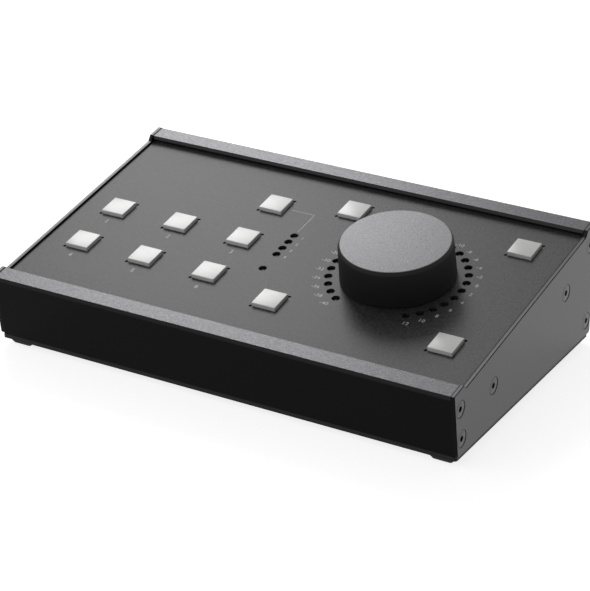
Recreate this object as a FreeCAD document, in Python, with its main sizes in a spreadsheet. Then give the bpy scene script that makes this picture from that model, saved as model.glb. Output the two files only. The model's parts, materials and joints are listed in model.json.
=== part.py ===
import FreeCAD, Part
import os
import re

import Sketcher
from FreeCAD import Vector

# Studio monitor controller: a wedge-shaped desktop box with eleven push buttons, a ring of
# lamps and one large endless knob. Its frame: +X to the right, +Y to the rear, +Z up, with
# the origin under the middle of the box, on the surface that the feet stand on.
#
# Most pieces lie parallel to the sloping control panel, so they are placed by u, v and w:
# u runs to the right from the middle, v up the slope from the case's front edge, and w
# stands out of the panel, with 0 at its top face.

# Driving sizes, in millimetres and degrees.
SIZES = {
    # case
    "case_width": 230.0,
    "slope": 10.0,
    "front_lean": 9.0,
    "front_height": 30.1,
    "rail_width": 8.4,
    "rail_rise": 2.9,
    "recess_length": 123.0,
    "wall": 3.0,
    "front_bevel_depth": 0.35,
    "front_bevel_top": 2.0,
    "rear_edge_radius": 1.0,
    "flange_depth": 9.0,
    "flange_thickness": 2.5,
    "port_half": 3.9,
    "groove_depth": 4.0,
    "groove_clearance": 0.3,
    "panel_thickness": 2.0,
    "panel_side_gap": 0.15,
    "bottom_thickness": 2.0,
    "bottom_side_inset": 0.8,
    "bottom_end_inset": 0.1,
    "bottom_corner_radius": 1.5,
    # side panels and the screws through them
    "side_thickness": 2.0,
    "side_rise": 0.85,
    "side_proud": 0.25,
    "side_corner_radius": 1.5,
    "side_edge_chamfer": 0.25,
    "port_inset": 4.5,
    "port_upper_depth": 5.9,
    "port_lower_height": 7.6,
    "rail_screw_depth": 14.6,
    "rail_screw_front_inset": 22.3,
    "rail_screw_rear_inset": 20.9,
    "side_screw_diameter": 4.0,
    "side_screw_head": 7.8,
    "side_screw_length": 8.0,
    "side_screw_socket": 2.5,
    "side_screw_socket_depth": 1.4,
    "head_sink": 0.15,
    "thread_clearance": 0.3,
    # feet and the bottom plate's screws
    "foot_height": 3.1,
    "foot_top_size": 12.7,
    "foot_taper": 30.8,
    "foot_corner_radius": 1.2,
    "foot_edge_radius": 0.4,
    "foot_inset_x": 8.8,
    "foot_inset_y": 7.6,
    "bottom_screw_diameter": 3.0,
    "bottom_screw_head": 5.6,
    "bottom_screw_length": 4.3,
    "bottom_screw_recess": 1.6,
    "bottom_screw_recess_depth": 0.9,
    "bottom_screw_spread": 72.0,
    # main board and the two rails that carry it
    "board_rail_size": 8.0,
    "board_rail_front_gap": 3.6,
    "board_rail_rear_gap": 3.4,
    "board_thickness": 1.6,
    "board_margin": 1.0,
    "board_side_gap": 0.5,
    "board_screw_inset": 7.5,
    "board_screw_diameter": 3.0,
    "board_screw_head": 5.6,
    "board_screw_head_height": 2.0,
    "board_screw_head_radius": 0.9,
    "board_screw_length": 6.0,
    "board_screw_recess": 1.7,
    "board_screw_recess_depth": 1.1,
    # buttons
    "knob_side_inset": 63.7,
    "knob_v": 72.7,
    "column_side_inset": 54.0,
    "column_pitch": 33.65,
    "row_pitch": 29.65,
    "cluster_u": 42.4,
    "cluster_v": 38.4,
    "cap_size": 11.6,
    "cap_proud": 1.6,
    "cap_edge_radius": 0.2,
    "cap_corner_radius": 0.35,
    "cap_wall": 1.2,
    "cap_roof": 1.2,
    "cap_flange": 0.8,
    "cap_flange_height": 0.8,
    "cap_flange_clearance": 0.2,
    "cap_boss": 6.2,
    "cap_gap": 0.4,
    "relief_diameter": 1.5,
    "button_travel": 1.2,
    "switch_size": 12.0,
    "switch_clearance": 0.4,
    "switch_edge_chamfer": 0.4,
    "plunger_diameter": 6.4,
    "plunger_clearance": 0.1,
    "plunger_guide": 3.2,
    "plunger_tip": 3.8,
    "plunger_tip_height": 2.4,
    # lamps
    "lamp_diameter": 3.0,
    "lamp_hole_diameter": 3.8,
    "lamp_flange_diameter": 3.8,
    "lamp_flange_height": 1.0,
    "lamp_depth": 0.9,
    "lamp_dome_radius": 1.3,
    "ring_radius": 30.67,
    "ring_step": 11.25,
    "layer_lamp_u": -7.05,
    "layer_lamp_pitch": 5.35,
    "status_lamp_drop": 17.4,
    # knob and rotary encoder
    "knob_base_radius": 25.7,
    "knob_taper": 0.5,
    "knob_bevel_width": 1.0,
    "knob_top": 18.2,
    "knob_bevel_height": 1.6,
    "knob_gap": 0.4,
    "knob_foot_radius": 0.2,
    "knob_wall": 2.0,
    "knob_roof": 2.5,
    "core_clearance": 0.05,
    "core_bottom": 4.6,
    "core_sleeve": 1.8,
    "core_web": 3.0,
    "core_boss_radius": 7.0,
    "shaft_diameter": 6.0,
    "shaft_flat": 4.5,
    "shaft_top": 14.4,
    "shaft_bottom": 5.4,
    "shaft_clearance": 0.1,
    "shaft_collar_diameter": 7.0,
    "bushing_diameter": 7.0,
    "bushing_top": 4.0,
    "bushing_flange_size": 11.6,
    "bushing_flange_thickness": 0.8,
    "encoder_size": 13.2,
    "encoder_well": 7.4,
    "encoder_well_depth": 3.0,
    "nut_across_flats": 10.0,
    "nut_height": 2.0,
    "nut_clearance": 0.05,
    "washer_diameter": 11.0,
    "washer_thickness": 0.5,
    # network jacks, their board and the cable between the boards
    "jack_side_inset": 67.0,
    "jack_pitch": 22.0,
    "jack_width": 16.0,
    "jack_height": 13.4,
    "jack_depth": 18.0,
    "jack_cutout_clearance": 0.15,
    "jack_mouth_width": 11.9,
    "jack_mouth_height": 8.2,
    "jack_mouth_rise": 3.4,
    "jack_mouth_depth": 13.0,
    "jack_latch_width": 6.0,
    "jack_latch_height": 2.0,
    "standoff_height": 12.7,
    "standoff_across_flats": 5.5,
    "standoff_stub": 4.2,
    "jack_board_length": 62.0,
    "jack_board_depth": 38.0,
    "jack_board_inset": 4.0,
    "cable_inset": 9.0,
    "cable_rise": 3.9,
    "cable_width": 12.7,
    "cable_thickness": 0.9,
    "plug_length": 17.0,
    "plug_depth": 6.0,
    "plug_height": 6.0,
}

# Worked-out sizes and places, each a formula of the sizes above and of earlier lines.
PLACES = {
    "slope_length": "2 * rail_width + recess_length",
    "knob_u": "case_width / 2 - knob_side_inset",
    "column_u": "column_side_inset - case_width / 2",
    "jack_x": "case_width / 2 - jack_side_inset",
    "case_depth": "slope_length * cos(slope)",
    "front_y": "-case_depth / 2",
    "rear_y": "case_depth / 2",
    "floor_z": "foot_height + bottom_thickness",
    "front_top_z": "floor_z + front_height",
    "panel_y": "front_y + rail_rise * sin(slope)",
    "panel_z": "front_top_z - rail_rise * cos(slope)",
    "flange_z": "floor_z + flange_thickness",
    "inner_half": "case_width / 2 - side_thickness",
    "front_bottom_y": "front_y + front_height * tan(front_lean)",
    "front_inner_y": "front_bottom_y + wall",
    "rear_inner_y": "rear_y - wall",
    "rear_rail_v": "slope_length - rail_width",
    "port_upper_bottom": "port_upper_depth + port_half",
    "port_lower_z": "floor_z + port_lower_height",
    "port_lower_top_z": "port_lower_z + port_half",
    "step_run": "rail_rise + side_proud - side_rise",
    "board_rail_start": "rail_width + board_rail_front_gap",
    "board_rail_end": "rear_rail_v - board_rail_rear_gap",
    "rail_screw_front": "board_rail_start + rail_screw_front_inset",
    "rail_screw_rear": "board_rail_end - rail_screw_rear_inset",
    "board_underside": "rail_screw_depth - board_rail_size / 2",
    "board_top": "board_underside - board_thickness",
    "board_front_v": "rail_width + board_margin",
    "board_rear_v": "rear_rail_v - board_margin",
    "board_half": "inner_half - board_side_gap",
    "board_screw_u": "inner_half - board_rail_size / 2",
    "board_screw_front": "board_rail_start + board_screw_inset",
    "board_screw_rear": "board_rail_end - board_screw_inset",
    "hole_size": "cap_size + 2 * cap_gap",
    "flange_top": "panel_thickness + cap_flange_clearance",
    "cap_bottom": "flange_top + cap_flange_height",
    "cap_height": "cap_bottom + cap_proud",
    "cap_hollow": "cap_size - 2 * cap_wall",
    "switch_top": "cap_bottom + button_travel + switch_clearance",
    "switch_height": "board_top - switch_top",
    "plunger_bottom": "switch_top + plunger_guide - button_travel",
    "well_diameter": "plunger_diameter + 2 * plunger_clearance",
    "well_depth": "plunger_guide + plunger_clearance",
    "lamp_height": "board_top - lamp_depth",
    "status_lamp_v": "knob_v - status_lamp_drop",
    "knob_side_top_radius": "knob_base_radius - knob_taper",
    "knob_top_radius": "knob_side_top_radius - knob_bevel_width",
    "knob_bevel_w": "knob_top - knob_bevel_height",
    "knob_inner_radius": "knob_side_top_radius - knob_wall",
    "knob_roof_w": "knob_top - knob_roof",
    "core_radius": "knob_inner_radius - core_clearance",
    "encoder_top": "panel_thickness + bushing_flange_thickness",
    "encoder_height": "board_top - encoder_top",
    "shaft_bore": "shaft_diameter + 2 * shaft_clearance",
    "jack_board_z": "floor_z + standoff_height",
    "jack_base_z": "jack_board_z + board_thickness",
    "jack_board_rear_y": "rear_inner_y - 2 * port_half",
    "jack_board_y": "jack_board_rear_y - jack_board_depth / 2",
    "foot_x": "case_width / 2 - foot_inset_x",
    "bottom_front_y": "front_bottom_y + bottom_end_inset",
    "bottom_rear_y": "rear_y - bottom_end_inset",
    "foot_front_y": "bottom_front_y + foot_inset_y",
    "foot_rear_y": "bottom_rear_y - foot_inset_y",
    "bottom_screw_front_y": "front_inner_y + flange_depth / 2",
    "bottom_screw_rear_y": "rear_inner_y - flange_depth / 2",
    "cable_x": "jack_x",
    "cable_y": "jack_board_y - jack_board_depth / 2 + cable_inset",
    "cable_bend_height": "jack_base_z + plug_height + cable_rise",
    "cable_bend_v": "(cable_y - panel_y) * cos(slope) + (cable_bend_height - panel_z) * sin(slope)",
    "cable_plug_w": "-board_underside - plug_height",
}

# How near two places are that count as the same when edges are picked.
NEAR = 0.01

# Counts of what repeats: lamps round the knob, and lamps beside the layer button.
RING_LAMPS = 27
LAYER_LAMPS = 4

# Each button's name with the u and v of its middle.
BUTTONS = {
    "source_a": ("column_u - column_pitch", "knob_v - row_pitch"),
    "source_b": ("column_u", "knob_v - row_pitch"),
    "source_c": ("column_u + column_pitch", "knob_v - row_pitch"),
    "speaker_1": ("column_u - column_pitch", "knob_v"),
    "speaker_2": ("column_u", "knob_v"),
    "speaker_3": ("column_u + column_pitch", "knob_v"),
    "layer": ("column_u + column_pitch", "knob_v + row_pitch"),
    "talkback": ("knob_u - cluster_u", "knob_v - cluster_v"),
    "reference": ("knob_u - cluster_u", "knob_v + cluster_v"),
    "cut": ("knob_u + cluster_u", "knob_v + cluster_v"),
    "dim": ("knob_u + cluster_u", "knob_v - cluster_v"),
}

doc = FreeCAD.newDocument("monitor_controller")
sizes = doc.addObject("Spreadsheet::Sheet", "Sizes")
for row, (name, number) in enumerate(SIZES.items(), start=1):
    sizes.set("A%d" % row, name)
    sizes.set("B%d" % row, str(number))
    sizes.setAlias("B%d" % row, name)


def formula(text):
    """Put its sheet's name in front of each size that a formula names."""
    def full_name(found):
        word = found.group(0)
        if word in SIZES:
            return "Sizes." + word
        if word in PLACES:
            return "Places." + word
        return word
    return re.sub(r"[a-z][a-z_0-9]*", full_name, text)


places = doc.addObject("Spreadsheet::Sheet", "Places")
for row, (name, text) in enumerate(PLACES.items(), start=1):
    places.set("A%d" % row, name)
    places.set("B%d" % row, "=" + formula(text))
    places.setAlias("B%d" % row, name)
    doc.recompute()


def value(text):
    """The number that a formula gives now."""
    return float(sizes.evalExpression(formula(text)))


def bind(thing, prop, text):
    thing.setExpression(prop, formula(text))


def put(thing, x, y, z, axis="0; 0; 1", angle="0"):
    """Place a piece in the case's own frame."""
    turn = "rotation(vector(%s); %s)" % (axis, formula(angle))
    spot = "vector(%s; %s; %s)" % (formula(x), formula(y), formula(z))
    thing.setExpression("Placement", "placement(%s; %s)" % (spot, turn))


def on_slope(v, w):
    """The y and z formulas of a point given by v and w."""
    y = "(panel_y + (%s) * cos(slope) - (%s) * sin(slope))" % (v, w)
    z = "(panel_z + (%s) * sin(slope) + (%s) * cos(slope))" % (v, w)
    return y, z


def put_on_panel(thing, u="0", v="0", w="0"):
    """Place a piece by u, v and w, turned to lie along the slope."""
    y, z = on_slope(v, w)
    put(thing, u, y, z, "1; 0; 0", "slope")


def new_body(name):
    return doc.addObject("PartDesign::Body", name)


def sketch_on(body, plane="XY_Plane", offset="0"):
    """A sketch on one of the body's own planes, moved along that plane's normal."""
    sketch = body.newObject("Sketcher::SketchObject", body.Name + "_sketch")
    support = next(item for item in body.Origin.OriginFeatures if item.Role == plane)
    sketch.AttachmentSupport = [(support, "")]
    sketch.MapMode = "FlatFace"
    bind(sketch, "AttachmentOffset.Base.z", offset)
    return sketch


def hold(sketch, kind, geometry, point, text):
    """Fix a point's distance from the sketch's middle to a formula."""
    constraint = Sketcher.Constraint(kind, -1, 1, geometry, point, value(text))
    bind(sketch, "Constraints[%d]" % sketch.addConstraint(constraint), text)


def polygon(sketch, corners):
    """A closed outline through corners given as pairs of formulas."""
    spots = [Vector(value(x), value(y), 0) for x, y in corners]
    first = sketch.GeometryCount
    count = len(spots)
    for index in range(count):
        sketch.addGeometry(Part.LineSegment(spots[index], spots[(index + 1) % count]))
    for index in range(count):
        after = first + (index + 1) % count
        sketch.addConstraint(Sketcher.Constraint("Coincident", first + index, 2, after, 1))
    for index, (x, y) in enumerate(corners):
        hold(sketch, "DistanceX", first + index, 1, x)
        hold(sketch, "DistanceY", first + index, 1, y)


def rectangle(sketch, x, y, width, height):
    """A rectangle round its middle."""
    left, right = "%s - (%s) / 2" % (x, width), "%s + (%s) / 2" % (x, width)
    low, high = "%s - (%s) / 2" % (y, height), "%s + (%s) / 2" % (y, height)
    polygon(sketch, [(left, low), (right, low), (right, high), (left, high)])


def circle(sketch, x, y, diameter):
    middle = Vector(value(x), value(y), 0)
    index = sketch.addGeometry(Part.Circle(middle, Vector(0, 0, 1), value(diameter) / 2))
    hold(sketch, "DistanceX", index, 3, x)
    hold(sketch, "DistanceY", index, 3, y)
    constraint = Sketcher.Constraint("Diameter", index, value(diameter))
    bind(sketch, "Constraints[%d]" % sketch.addConstraint(constraint), diameter)


def hexagon(sketch, across_flats):
    """A regular hexagon round the sketch's middle, flats above and below."""
    reach = "(%s) / 2 / cos(30)" % across_flats
    polygon(sketch, [("%s * cos(%d)" % (reach, turn), "%s * sin(%d)" % (reach, turn))
                     for turn in range(0, 360, 60)])


def pad(body, sketch, length, down=False):
    feature = body.newObject("PartDesign::Pad", body.Name + "_pad")
    feature.Profile = sketch
    feature.Reversed = down
    bind(feature, "Length", length)
    return feature


def wide_pad(body, sketch, length):
    """A pad to both sides of its sketch."""
    feature = pad(body, sketch, length)
    feature.SideType = "Symmetric"
    return feature


def pocket(body, sketch, depth, up=False):
    """A cut that goes against the sketch's normal, or along it if up is set."""
    feature = body.newObject("PartDesign::Pocket", body.Name + "_pocket")
    feature.Profile = sketch
    feature.Reversed = up
    bind(feature, "Length", depth)
    return feature


def through_pocket(body, sketch):
    """A cut right through the body, to both sides of its sketch."""
    feature = body.newObject("PartDesign::Pocket", body.Name + "_through")
    feature.Profile = sketch
    feature.SideType = "Symmetric"
    feature.Type = "ThroughAll"
    return feature


def revolve(body, corners):
    """A solid turned round the body's own Z axis, from corners of radius and height."""
    sketch = sketch_on(body, "XZ_Plane")
    polygon(sketch, corners)
    feature = body.newObject("PartDesign::Revolution", body.Name + "_turned")
    feature.Profile = sketch
    feature.ReferenceAxis = (sketch, ["V_Axis"])
    feature.Angle = 360
    return feature


def edges_where(body, test):
    """The names of a body's edges whose boxes, in its own frame, pass a test."""
    doc.recompute()
    return ["Edge%d" % number for number, edge in enumerate(body.Tip.Shape.Edges, start=1)
            if test(edge.BoundBox)]


def soften(body, kind, edge_names, size):
    """A Fillet or Chamfer on edges of the body's last feature."""
    base = body.Tip
    feature = body.newObject("PartDesign::" + kind, body.Name + "_" + kind.lower())
    feature.Base = (base, edge_names)
    bind(feature, "Radius" if kind == "Fillet" else "Size", size)
    return feature


def countersunk_holes(body, sketch, hole, head):
    """Countersunk clearance holes at the sketch's circles."""
    doc.recompute()
    feature = body.newObject("PartDesign::Hole", body.Name + "_holes")
    feature.Profile = sketch
    feature.DepthType = "ThroughAll"
    feature.HoleCutType = "Countersink"
    feature.HoleCutCustomValues = True
    feature.HoleCutCountersinkAngle = 90
    bind(feature, "Diameter", hole)
    bind(feature, "HoleCutDiameter", head)
    return feature


def group(name, master, spots):
    """Separate copies of a master piece as one node; spots are functions that place one."""
    links = []
    for number, place in enumerate(spots, start=1):
        link = doc.addObject("App::Link", "%s_%d" % (name, number))
        link.LinkedObject = master
        place(link)
        links.append(link)
    compound = doc.addObject("Part::Compound", name)
    compound.Links = links
    return compound


nodes = []
port_bore = "side_screw_diameter + thread_clearance"
bottom_screw_bore = "bottom_screw_diameter + thread_clearance"
bottom_screw_sides = ("-bottom_screw_spread", "bottom_screw_spread")


def flange_holes(rail, y):
    """Holes in a rail's flange for the bottom plate's screws."""
    holes = sketch_on(rail, offset="floor_z")
    for x in bottom_screw_sides:
        circle(holes, x, y, bottom_screw_bore)
    pocket(rail, holes, "flange_thickness", up=True)


# Front rail: one extruded profile. It is the front wall, the raised strip along the panel's
# front edge, the groove that holds the panel, the ports for the side screws and a flange for
# the bottom plate's screws.
front_rail = new_body("front_rail")
profile = sketch_on(front_rail, "YZ_Plane")
lip_y, lip_top_z = on_slope("rail_width", "rail_rise")
head_y, head_z = on_slope("rail_width", "-port_upper_bottom")
block_y = on_slope("rail_width", "-port_upper_bottom")[0]
face_top_z = "(front_top_z - front_bevel_top)"
polygon(profile, [
    on_slope("front_bevel_depth", "rail_rise"),
    (lip_y, lip_top_z),
    on_slope("rail_width", "groove_clearance"),
    on_slope("rail_width - groove_depth", "groove_clearance"),
    on_slope("rail_width - groove_depth", "-panel_thickness"),
    on_slope("rail_width", "-panel_thickness"),
    (head_y, head_z),
    ("front_y + (front_top_z - %s) * tan(front_lean) + wall" % head_z, head_z),
    ("front_y + (front_top_z - port_lower_top_z) * tan(front_lean) + wall", "port_lower_top_z"),
    (block_y, "port_lower_top_z"),
    (block_y, "flange_z"),
    ("front_inner_y + flange_depth", "flange_z"),
    ("front_inner_y + flange_depth", "floor_z"),
    ("front_bottom_y", "floor_z"),
    ("front_y + (front_top_z - %s) * tan(front_lean)" % face_top_z, face_top_z),
])
wide_pad(front_rail, profile, "2 * inner_half")
ports = sketch_on(front_rail, "YZ_Plane")
front_upper_port = on_slope("port_inset", "-port_upper_depth")
front_lower_port = ("front_y + (front_top_z - port_lower_z) * tan(front_lean) + port_inset",
                    "port_lower_z")
circle(ports, front_upper_port[0], front_upper_port[1], port_bore)
circle(ports, front_lower_port[0], front_lower_port[1], port_bore)
through_pocket(front_rail, ports)
flange_holes(front_rail, "bottom_screw_front_y")
nodes.append(front_rail)

# Rear rail: the profile behind the panel, with its raised strip, the rear wall, the ports for
# the side screws, the flange for the bottom plate and the cut-outs for the two jacks.
rear_rail = new_body("rear_rail")
profile = sketch_on(rear_rail, "YZ_Plane")
under_y, under_z = on_slope("rear_rail_v", "-port_upper_bottom")
rear_block_y = "(rear_y - 2 * port_half)"
polygon(profile, [
    on_slope("rear_rail_v", "rail_rise"),
    on_slope("slope_length", "rail_rise"),
    ("rear_y", "floor_z"),
    ("rear_inner_y - flange_depth", "floor_z"),
    ("rear_inner_y - flange_depth", "flange_z"),
    (rear_block_y, "flange_z"),
    (rear_block_y, "port_lower_top_z"),
    ("rear_inner_y", "port_lower_top_z"),
    ("rear_inner_y", under_z),
    (under_y, under_z),
    on_slope("rear_rail_v", "-panel_thickness"),
    on_slope("rear_rail_v + groove_depth", "-panel_thickness"),
    on_slope("rear_rail_v + groove_depth", "groove_clearance"),
    on_slope("rear_rail_v", "groove_clearance"),
])
wide_pad(rear_rail, profile, "2 * inner_half")
rear, low = value("rear_y"), value("floor_z")
top_edge = edges_where(rear_rail, lambda box: box.YMin > rear - NEAR and box.ZMin > low + NEAR
                       and box.ZLength < NEAR)
soften(rear_rail, "Fillet", top_edge, "rear_edge_radius")
ports = sketch_on(rear_rail, "YZ_Plane")
rear_upper_z = on_slope("slope_length - port_inset", "-port_upper_depth")[1]
rear_upper_port = ("rear_y - port_inset", rear_upper_z)
rear_lower_port = ("rear_y - port_inset", "port_lower_z")
circle(ports, rear_upper_port[0], rear_upper_port[1], port_bore)
circle(ports, rear_lower_port[0], rear_lower_port[1], port_bore)
through_pocket(rear_rail, ports)
flange_holes(rear_rail, "bottom_screw_rear_y")
windows = sketch_on(rear_rail, "XZ_Plane", "-rear_y")
jack_spots = ("jack_x - jack_pitch / 2", "jack_x + jack_pitch / 2")
for jack_spot in jack_spots:
    rectangle(windows, jack_spot, "jack_base_z + jack_height / 2",
              "jack_width + 2 * jack_cutout_clearance", "jack_height + 2 * jack_cutout_clearance")
pocket(rear_rail, windows, "2 * port_half + wall", up=True)
nodes.append(rear_rail)

# Side panels: flat sheet that closes both ends. Its top edge stands a little above the panel,
# and steps up to stand just proud of the raised strips. Six countersunk screws hold each panel.
side_outline = [
    ("front_bottom_y", "floor_z"),
    ("rear_y", "floor_z"),
    ("rear_y", on_slope("slope_length", "rail_rise + side_proud")[1]),
    on_slope("rear_rail_v", "rail_rise + side_proud"),
    on_slope("rear_rail_v - step_run", "side_rise"),
    on_slope("rail_width + step_run", "side_rise"),
    on_slope("rail_width", "rail_rise + side_proud"),
    ("front_y", "front_top_z + side_proud"),
]
side_screw_spots = [
    front_upper_port,
    front_lower_port,
    on_slope("rail_screw_front", "-rail_screw_depth"),
    on_slope("rail_screw_rear", "-rail_screw_depth"),
    rear_upper_port,
    rear_lower_port,
]
for side, sign in (("left", -1), ("right", 1)):
    panel = new_body(side + "_side_panel")
    outline = sketch_on(panel, "YZ_Plane", "%d * inner_half" % sign)
    polygon(outline, side_outline)
    pad(panel, outline, "side_thickness", down=sign < 0)
    outer = sign * value("case_width") / 2
    bottom_corners = edges_where(panel, lambda box: box.ZMax < low + NEAR and box.XLength > NEAR)
    soften(panel, "Fillet", bottom_corners, "side_corner_radius")
    top_corner = edges_where(panel, lambda box: box.YMin > rear - NEAR and box.ZMin > low + 2
                             and box.XLength > NEAR and box.ZLength < NEAR)
    soften(panel, "Fillet", top_corner, "rear_edge_radius")
    rim = edges_where(panel, lambda box: max(abs(box.XMin - outer), abs(box.XMax - outer)) < NEAR)
    soften(panel, "Chamfer", rim, "side_edge_chamfer")
    holes = sketch_on(panel, "YZ_Plane", "%d * case_width / 2" % sign)
    for y, z in side_screw_spots:
        circle(holes, y, z, "side_screw_diameter")
    feature = countersunk_holes(panel, holes, "side_screw_head - 2 * side_thickness + 2 * head_sink",
                                "side_screw_head + 2 * head_sink")
    feature.Reversed = sign < 0
    nodes.append(panel)

# Side screws: M4 countersunk screws with a hexagon socket, six through each side panel.
side_screw = new_body("side_screw")
head_depth = "(side_screw_head - side_screw_diameter) / 2"
revolve(side_screw, [
    ("0", "0"),
    ("side_screw_head / 2", "0"),
    ("side_screw_diameter / 2", "-" + head_depth),
    ("side_screw_diameter / 2", "-side_screw_length"),
    ("0", "-side_screw_length"),
])
socket = sketch_on(side_screw)
hexagon(socket, "side_screw_socket")
pocket(side_screw, socket, "side_screw_socket_depth")


def side_screw_place(sign, y, z):
    """Places one screw with its head just under the outer face of a side panel."""
    reach = "%d * (case_width / 2 - head_sink)" % sign
    return lambda link: put(link, reach, y, z, "0; 1; 0", "%d" % (sign * 90))


nodes.append(group("side_screws", side_screw, [
    side_screw_place(sign, y, z) for sign in (-1, 1) for y, z in side_screw_spots]))

# Control panel: flat sheet that slides into the grooves of both rails. Its square button
# holes have small round reliefs at their corners, as a milled hole has.
top_panel = new_body("top_panel")
put_on_panel(top_panel)
outline = sketch_on(top_panel)
panel_middle = "slope_length / 2"
rectangle(outline, "0", panel_middle, "2 * (inner_half - panel_side_gap)",
          "recess_length + 2 * groove_depth - 2 * groove_clearance")
pad(top_panel, outline, "panel_thickness", down=True)
squares = sketch_on(top_panel)
reliefs = sketch_on(top_panel)
for u, v in BUTTONS.values():
    rectangle(squares, u, v, "hole_size", "hole_size")
    for side in (-1, 1):
        for end in (-1, 1):
            circle(reliefs, "%s + %d * hole_size / 2" % (u, side),
                   "%s + %d * hole_size / 2" % (v, end), "relief_diameter")
pocket(top_panel, squares, "panel_thickness")
pocket(top_panel, reliefs, "panel_thickness")
round_holes = sketch_on(top_panel)
circle(round_holes, "knob_u", "knob_v", "bushing_diameter + 2 * nut_clearance")


def ring_spot(number):
    """The u and v of one lamp of the ring, counted clockwise from the lower left."""
    turn = "(%d * ring_step)" % (number - RING_LAMPS // 2)
    return "knob_u + ring_radius * sin(%s)" % turn, "knob_v + ring_radius * cos(%s)" % turn


ring_spots = [ring_spot(number) for number in range(RING_LAMPS)]
status_spots = [("layer_lamp_u", "knob_v + %d * layer_lamp_pitch" % (number - 1))
                for number in range(LAYER_LAMPS)]
status_spots.append(("layer_lamp_u", "status_lamp_v"))
for u, v in ring_spots + status_spots:
    circle(round_holes, u, v, "lamp_hole_diameter")
pocket(top_panel, round_holes, "panel_thickness")
nodes.append(top_panel)

# Bottom plate: flat sheet under the rails and the side panels, screwed to the two flanges
# from below, with round holes for the four pressed-in standoffs.
bottom_plate = new_body("bottom_plate")
outline = sketch_on(bottom_plate, offset="foot_height")
rectangle(outline, "0", "(bottom_front_y + bottom_rear_y) / 2",
          "case_width - 2 * bottom_side_inset", "bottom_rear_y - bottom_front_y")
pad(bottom_plate, outline, "bottom_thickness")
corners = edges_where(bottom_plate, lambda box: box.ZLength > NEAR)
soften(bottom_plate, "Fillet", corners, "bottom_corner_radius")
bottom_screw_spots = [(x, y) for x in bottom_screw_sides
                      for y in ("bottom_screw_front_y", "bottom_screw_rear_y")]
holes = sketch_on(bottom_plate, offset="foot_height")
for x, y in bottom_screw_spots:
    circle(holes, x, y, "bottom_screw_diameter")
feature = countersunk_holes(bottom_plate, holes, bottom_screw_bore,
                            "bottom_screw_head + 2 * head_sink")
feature.Reversed = True
standoff_spots = [("jack_x + %d * (jack_board_length / 2 - jack_board_inset)" % side,
                   "jack_board_y + %d * (jack_board_depth / 2 - jack_board_inset)" % end)
                  for side in (-1, 1) for end in (-1, 1)]
holes = sketch_on(bottom_plate, offset="floor_z")
for x, y in standoff_spots:
    circle(holes, x, y, "standoff_stub")
pocket(bottom_plate, holes, "bottom_thickness")
nodes.append(bottom_plate)

# Bottom screws: M3 countersunk screws, driven from below into the rails' flanges.
bottom_screw = new_body("bottom_screw")
head_depth = "(bottom_screw_head - bottom_screw_diameter) / 2"
revolve(bottom_screw, [
    ("0", "0"),
    ("bottom_screw_head / 2", "0"),
    ("bottom_screw_diameter / 2", head_depth),
    ("bottom_screw_diameter / 2", "bottom_screw_length"),
    ("0", "bottom_screw_length"),
])
socket = sketch_on(bottom_screw)
hexagon(socket, "bottom_screw_recess")
pocket(bottom_screw, socket, "bottom_screw_recess_depth", up=True)
nodes.append(group("bottom_screws", bottom_screw, [
    lambda link, x=x, y=y: put(link, x, y, "foot_height + head_sink")
    for x, y in bottom_screw_spots]))

# Feet: four square rubber pads that taper downwards, stuck under the corners of the case.
foot = new_body("foot")
outline = sketch_on(foot, offset="foot_height")
rectangle(outline, "0", "0", "foot_top_size", "foot_top_size")
taper = pad(foot, outline, "foot_height", down=True)
bind(taper, "TaperAngle", "-foot_taper")
soften(foot, "Fillet", edges_where(foot, lambda box: box.ZLength > NEAR), "foot_corner_radius")
soften(foot, "Fillet", edges_where(foot, lambda box: box.ZMax < NEAR), "foot_edge_radius")
nodes.append(group("rubber_feet", foot, [
    lambda link, side=side, y=y: put(link, "%d * foot_x" % side, y, "0")
    for side in (-1, 1) for y in ("foot_front_y", "foot_rear_y")]))

# Board rails: square bars that run along the side panels, parallel to the slope. The middle
# side screws hold them, and they carry the main board.
board_screw_spots = ("board_screw_front", "board_screw_rear")
for side, sign in (("left", -1), ("right", 1)):
    rail = new_body(side + "_board_rail")
    put_on_panel(rail)
    outline = sketch_on(rail, offset="-board_underside")
    middle_u = "%d * board_screw_u" % sign
    rectangle(outline, middle_u, "(board_rail_start + board_rail_end) / 2",
              "board_rail_size", "board_rail_end - board_rail_start")
    pad(rail, outline, "board_rail_size", down=True)
    holes = sketch_on(rail, offset="-board_underside")
    for v in board_screw_spots:
        circle(holes, middle_u, v, "board_screw_diameter + thread_clearance")
    pocket(rail, holes, "board_rail_size")
    holes = sketch_on(rail, "YZ_Plane", middle_u)
    for v in ("rail_screw_front", "rail_screw_rear"):
        circle(holes, v, "-rail_screw_depth", port_bore)
    through_pocket(rail, holes)
    nodes.append(rail)

# Main board: one circuit board under the whole control panel, on the two board rails.
main_board = new_body("main_board")
put_on_panel(main_board)
outline = sketch_on(main_board, offset="-board_top")
rectangle(outline, "0", "(board_front_v + board_rear_v) / 2", "2 * board_half",
          "board_rear_v - board_front_v")
pad(main_board, outline, "board_thickness", down=True)
holes = sketch_on(main_board, offset="-board_top")
for side in (-1, 1):
    for v in board_screw_spots:
        circle(holes, "%d * board_screw_u" % side, v, "board_screw_diameter + thread_clearance")
pocket(main_board, holes, "board_thickness")
nodes.append(main_board)

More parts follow.
